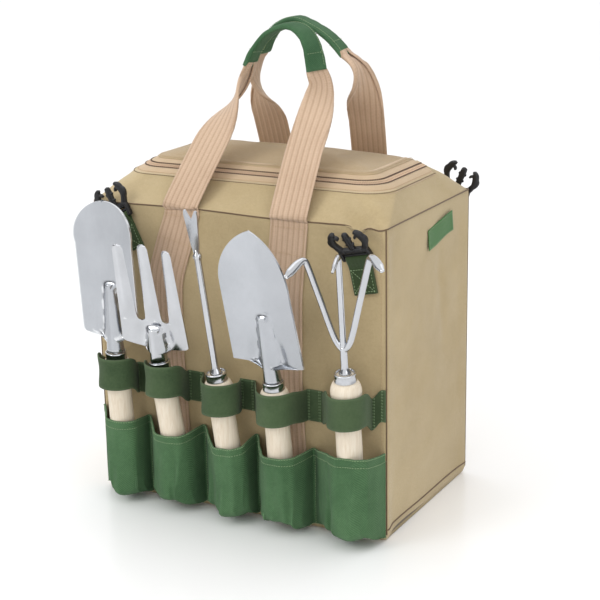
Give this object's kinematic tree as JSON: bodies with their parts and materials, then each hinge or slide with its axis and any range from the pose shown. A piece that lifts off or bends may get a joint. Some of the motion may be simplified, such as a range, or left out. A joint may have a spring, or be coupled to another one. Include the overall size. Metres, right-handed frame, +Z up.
{
  "type": "garden tool bag",
  "caption": "Zip-topped canvas tote with two webbing handles, corner buckles and a row of garden hand tools held in front pockets and loops.",
  "frame": {"origin": "centre of the underside of the bag, at the middle of its width and depth", "axes": "+Z up, +X along the bag width to the viewer's right when the tools face the viewer, -Y out of the front with the tools, +Y out of the back"},
  "size_m": [0.3687, 0.2888, 0.491],
  "materials": {
    "canvas": "woven canvas",
    "lining": "stiff board under cloth",
    "zip_tape": "woven tape",
    "zip_teeth": "moulded coil",
    "zip_metal": "satin",
    "webbing": "ribbed webbing",
    "grip_cloth": "twill",
    "pocket_cloth": "twill",
    "band_cloth": "plain weave",
    "buckle_plastic": "satin moulded",
    "tab_webbing": "webbing",
    "label_cloth": "woven label",
    "wood": "turned and sanded",
    "steel": "polished"
  },
  "bodies": {
    "bag": {"front_panel": "canvas", "back_panel": "canvas", "left_side_panel": "canvas", "right_side_panel": "canvas", "bottom_panel": "canvas", "base_board": "lining", "top_frame_front": "canvas", "top_frame_left": "canvas", "top_frame_right": "canvas", "top_frame_back": "canvas", "zip_tape_outer": "zip_tape", "zip_teeth_outer": "zip_teeth", "pocket_trowel": "pocket_cloth", "pocket_fork": "pocket_cloth", "pocket_weeder": "pocket_cloth", "pocket_transplanter": "pocket_cloth", "pocket_cultivator": "pocket_cloth", "loop_trowel": "band_cloth", "loop_fork": "band_cloth", "loop_weeder": "band_cloth", "loop_transplanter": "band_cloth", "loop_cultivator": "band_cloth", "front_strap_sewn": "webbing", "back_strap_sewn": "webbing", "buckle_tab_front_left": "tab_webbing", "buckle_tab_front_right": "tab_webbing", "buckle_tab_back_left": "tab_webbing", "buckle_tab_back_right": "tab_webbing", "side_label": "label_cloth"},
    "lid": {"lid_panel": "canvas", "zip_tape_inner": "zip_tape", "zip_teeth_inner": "zip_teeth"},
    "zip_slider": {"zip_slider": "zip_metal"},
    "zip_pull": {"zip_pull": "zip_metal"},
    "front_handle": {"front_handle_grip": "grip_cloth", "front_handle_webbing": "webbing"},
    "back_handle": {"back_handle_grip": "grip_cloth", "back_handle_webbing": "webbing"},
    "trowel": {"trowel_handle": "wood", "trowel_ferrule": "steel", "trowel_head": "steel"},
    "fork": {"fork_handle": "wood", "fork_ferrule": "steel", "fork_head": "steel"},
    "weeder": {"weeder_handle": "wood", "weeder_ferrule": "steel", "weeder_head": "steel"},
    "transplanter": {"transplanter_handle": "wood", "transplanter_ferrule": "steel", "transplanter_head": "steel"},
    "cultivator": {"cultivator_handle": "wood", "cultivator_ferrule": "steel", "cultivator_head": "steel"},
    "buckle_front_left_body": {"buckle_front_left": "buckle_plastic"},
    "buckle_front_right_body": {"buckle_front_right": "buckle_plastic"},
    "buckle_back_left_body": {"buckle_back_left": "buckle_plastic"},
    "buckle_back_right_body": {"buckle_back_right": "buckle_plastic"}
  },
  "joints": [
    {"name": "lid_hinge", "type": "hinge", "parent": "bag", "child": "lid", "pos_m": [0, 0.069, 0.335], "axis": [-1, 0, 0], "range_deg": [0, 90], "deforming": ["front_handle_webbing", "back_handle_webbing"]},
    {"name": "zip_slider_slide", "type": "slide", "parent": "bag", "child": "zip_slider", "axis": [0, -1, 0], "range_m": [0, 0.07]},
    {"name": "zip_pull_swing", "type": "hinge", "parent": "zip_slider", "child": "zip_pull", "pos_m": [-0.13631, 0.0435, 0.34554], "axis": [-0.8682, 0, -0.4961], "range_deg": [0, 120]},
    {"name": "front_handle_swing", "type": "hinge", "parent": "bag", "child": "front_handle", "pos_m": [0, -0.101, 0.308], "axis": [1, 0, 0], "range_deg": [0, 80]},
    {"name": "back_handle_swing", "type": "hinge", "parent": "bag", "child": "back_handle", "pos_m": [0, 0.101, 0.308], "axis": [-1, 0, 0], "range_deg": [0, 120]},
    {"name": "trowel_slide", "type": "slide", "parent": "bag", "child": "trowel", "axis": [-0.045, 0.1219, -0.9915], "range_m": [-0.135, 0]},
    {"name": "fork_slide", "type": "slide", "parent": "bag", "child": "fork", "axis": [0.0727, 0.1219, -0.9899], "range_m": [-0.135, 0]},
    {"name": "weeder_slide", "type": "slide", "parent": "bag", "child": "weeder", "axis": [0.0606, 0.1219, -0.9907], "range_m": [-0.135, 0]},
    {"name": "transplanter_slide", "type": "slide", "parent": "bag", "child": "transplanter", "axis": [0.0035, 0.1219, -0.9925], "range_m": [-0.135, 0]},
    {"name": "cultivator_slide", "type": "slide", "parent": "bag", "child": "cultivator", "axis": [-0.0121, 0.1219, -0.9925], "range_m": [-0.135, 0]},
    {"name": "buckle_front_left_swing", "type": "hinge", "parent": "bag", "child": "buckle_front_left_body", "pos_m": [-0.13, -0.1035, 0.297], "axis": [0.8988, 0, 0.4384], "range_deg": [0, 45]},
    {"name": "buckle_front_right_swing", "type": "hinge", "parent": "bag", "child": "buckle_front_right_body", "pos_m": [0.137, -0.1035, 0.284], "axis": [0.9781, 0, 0.2079], "range_deg": [-35, 10]},
    {"name": "buckle_back_left_swing", "type": "hinge", "parent": "bag", "child": "buckle_back_left_body", "pos_m": [-0.146, 0.1035, 0.304], "axis": [-0.9781, 0, -0.2079], "range_deg": [0, 120]},
    {"name": "buckle_back_right_swing", "type": "hinge", "parent": "bag", "child": "buckle_back_right_body", "pos_m": [0.145, 0.1035, 0.303], "axis": [-0.9135, 0, 0.4067], "range_deg": [0, 120]}
  ]
}
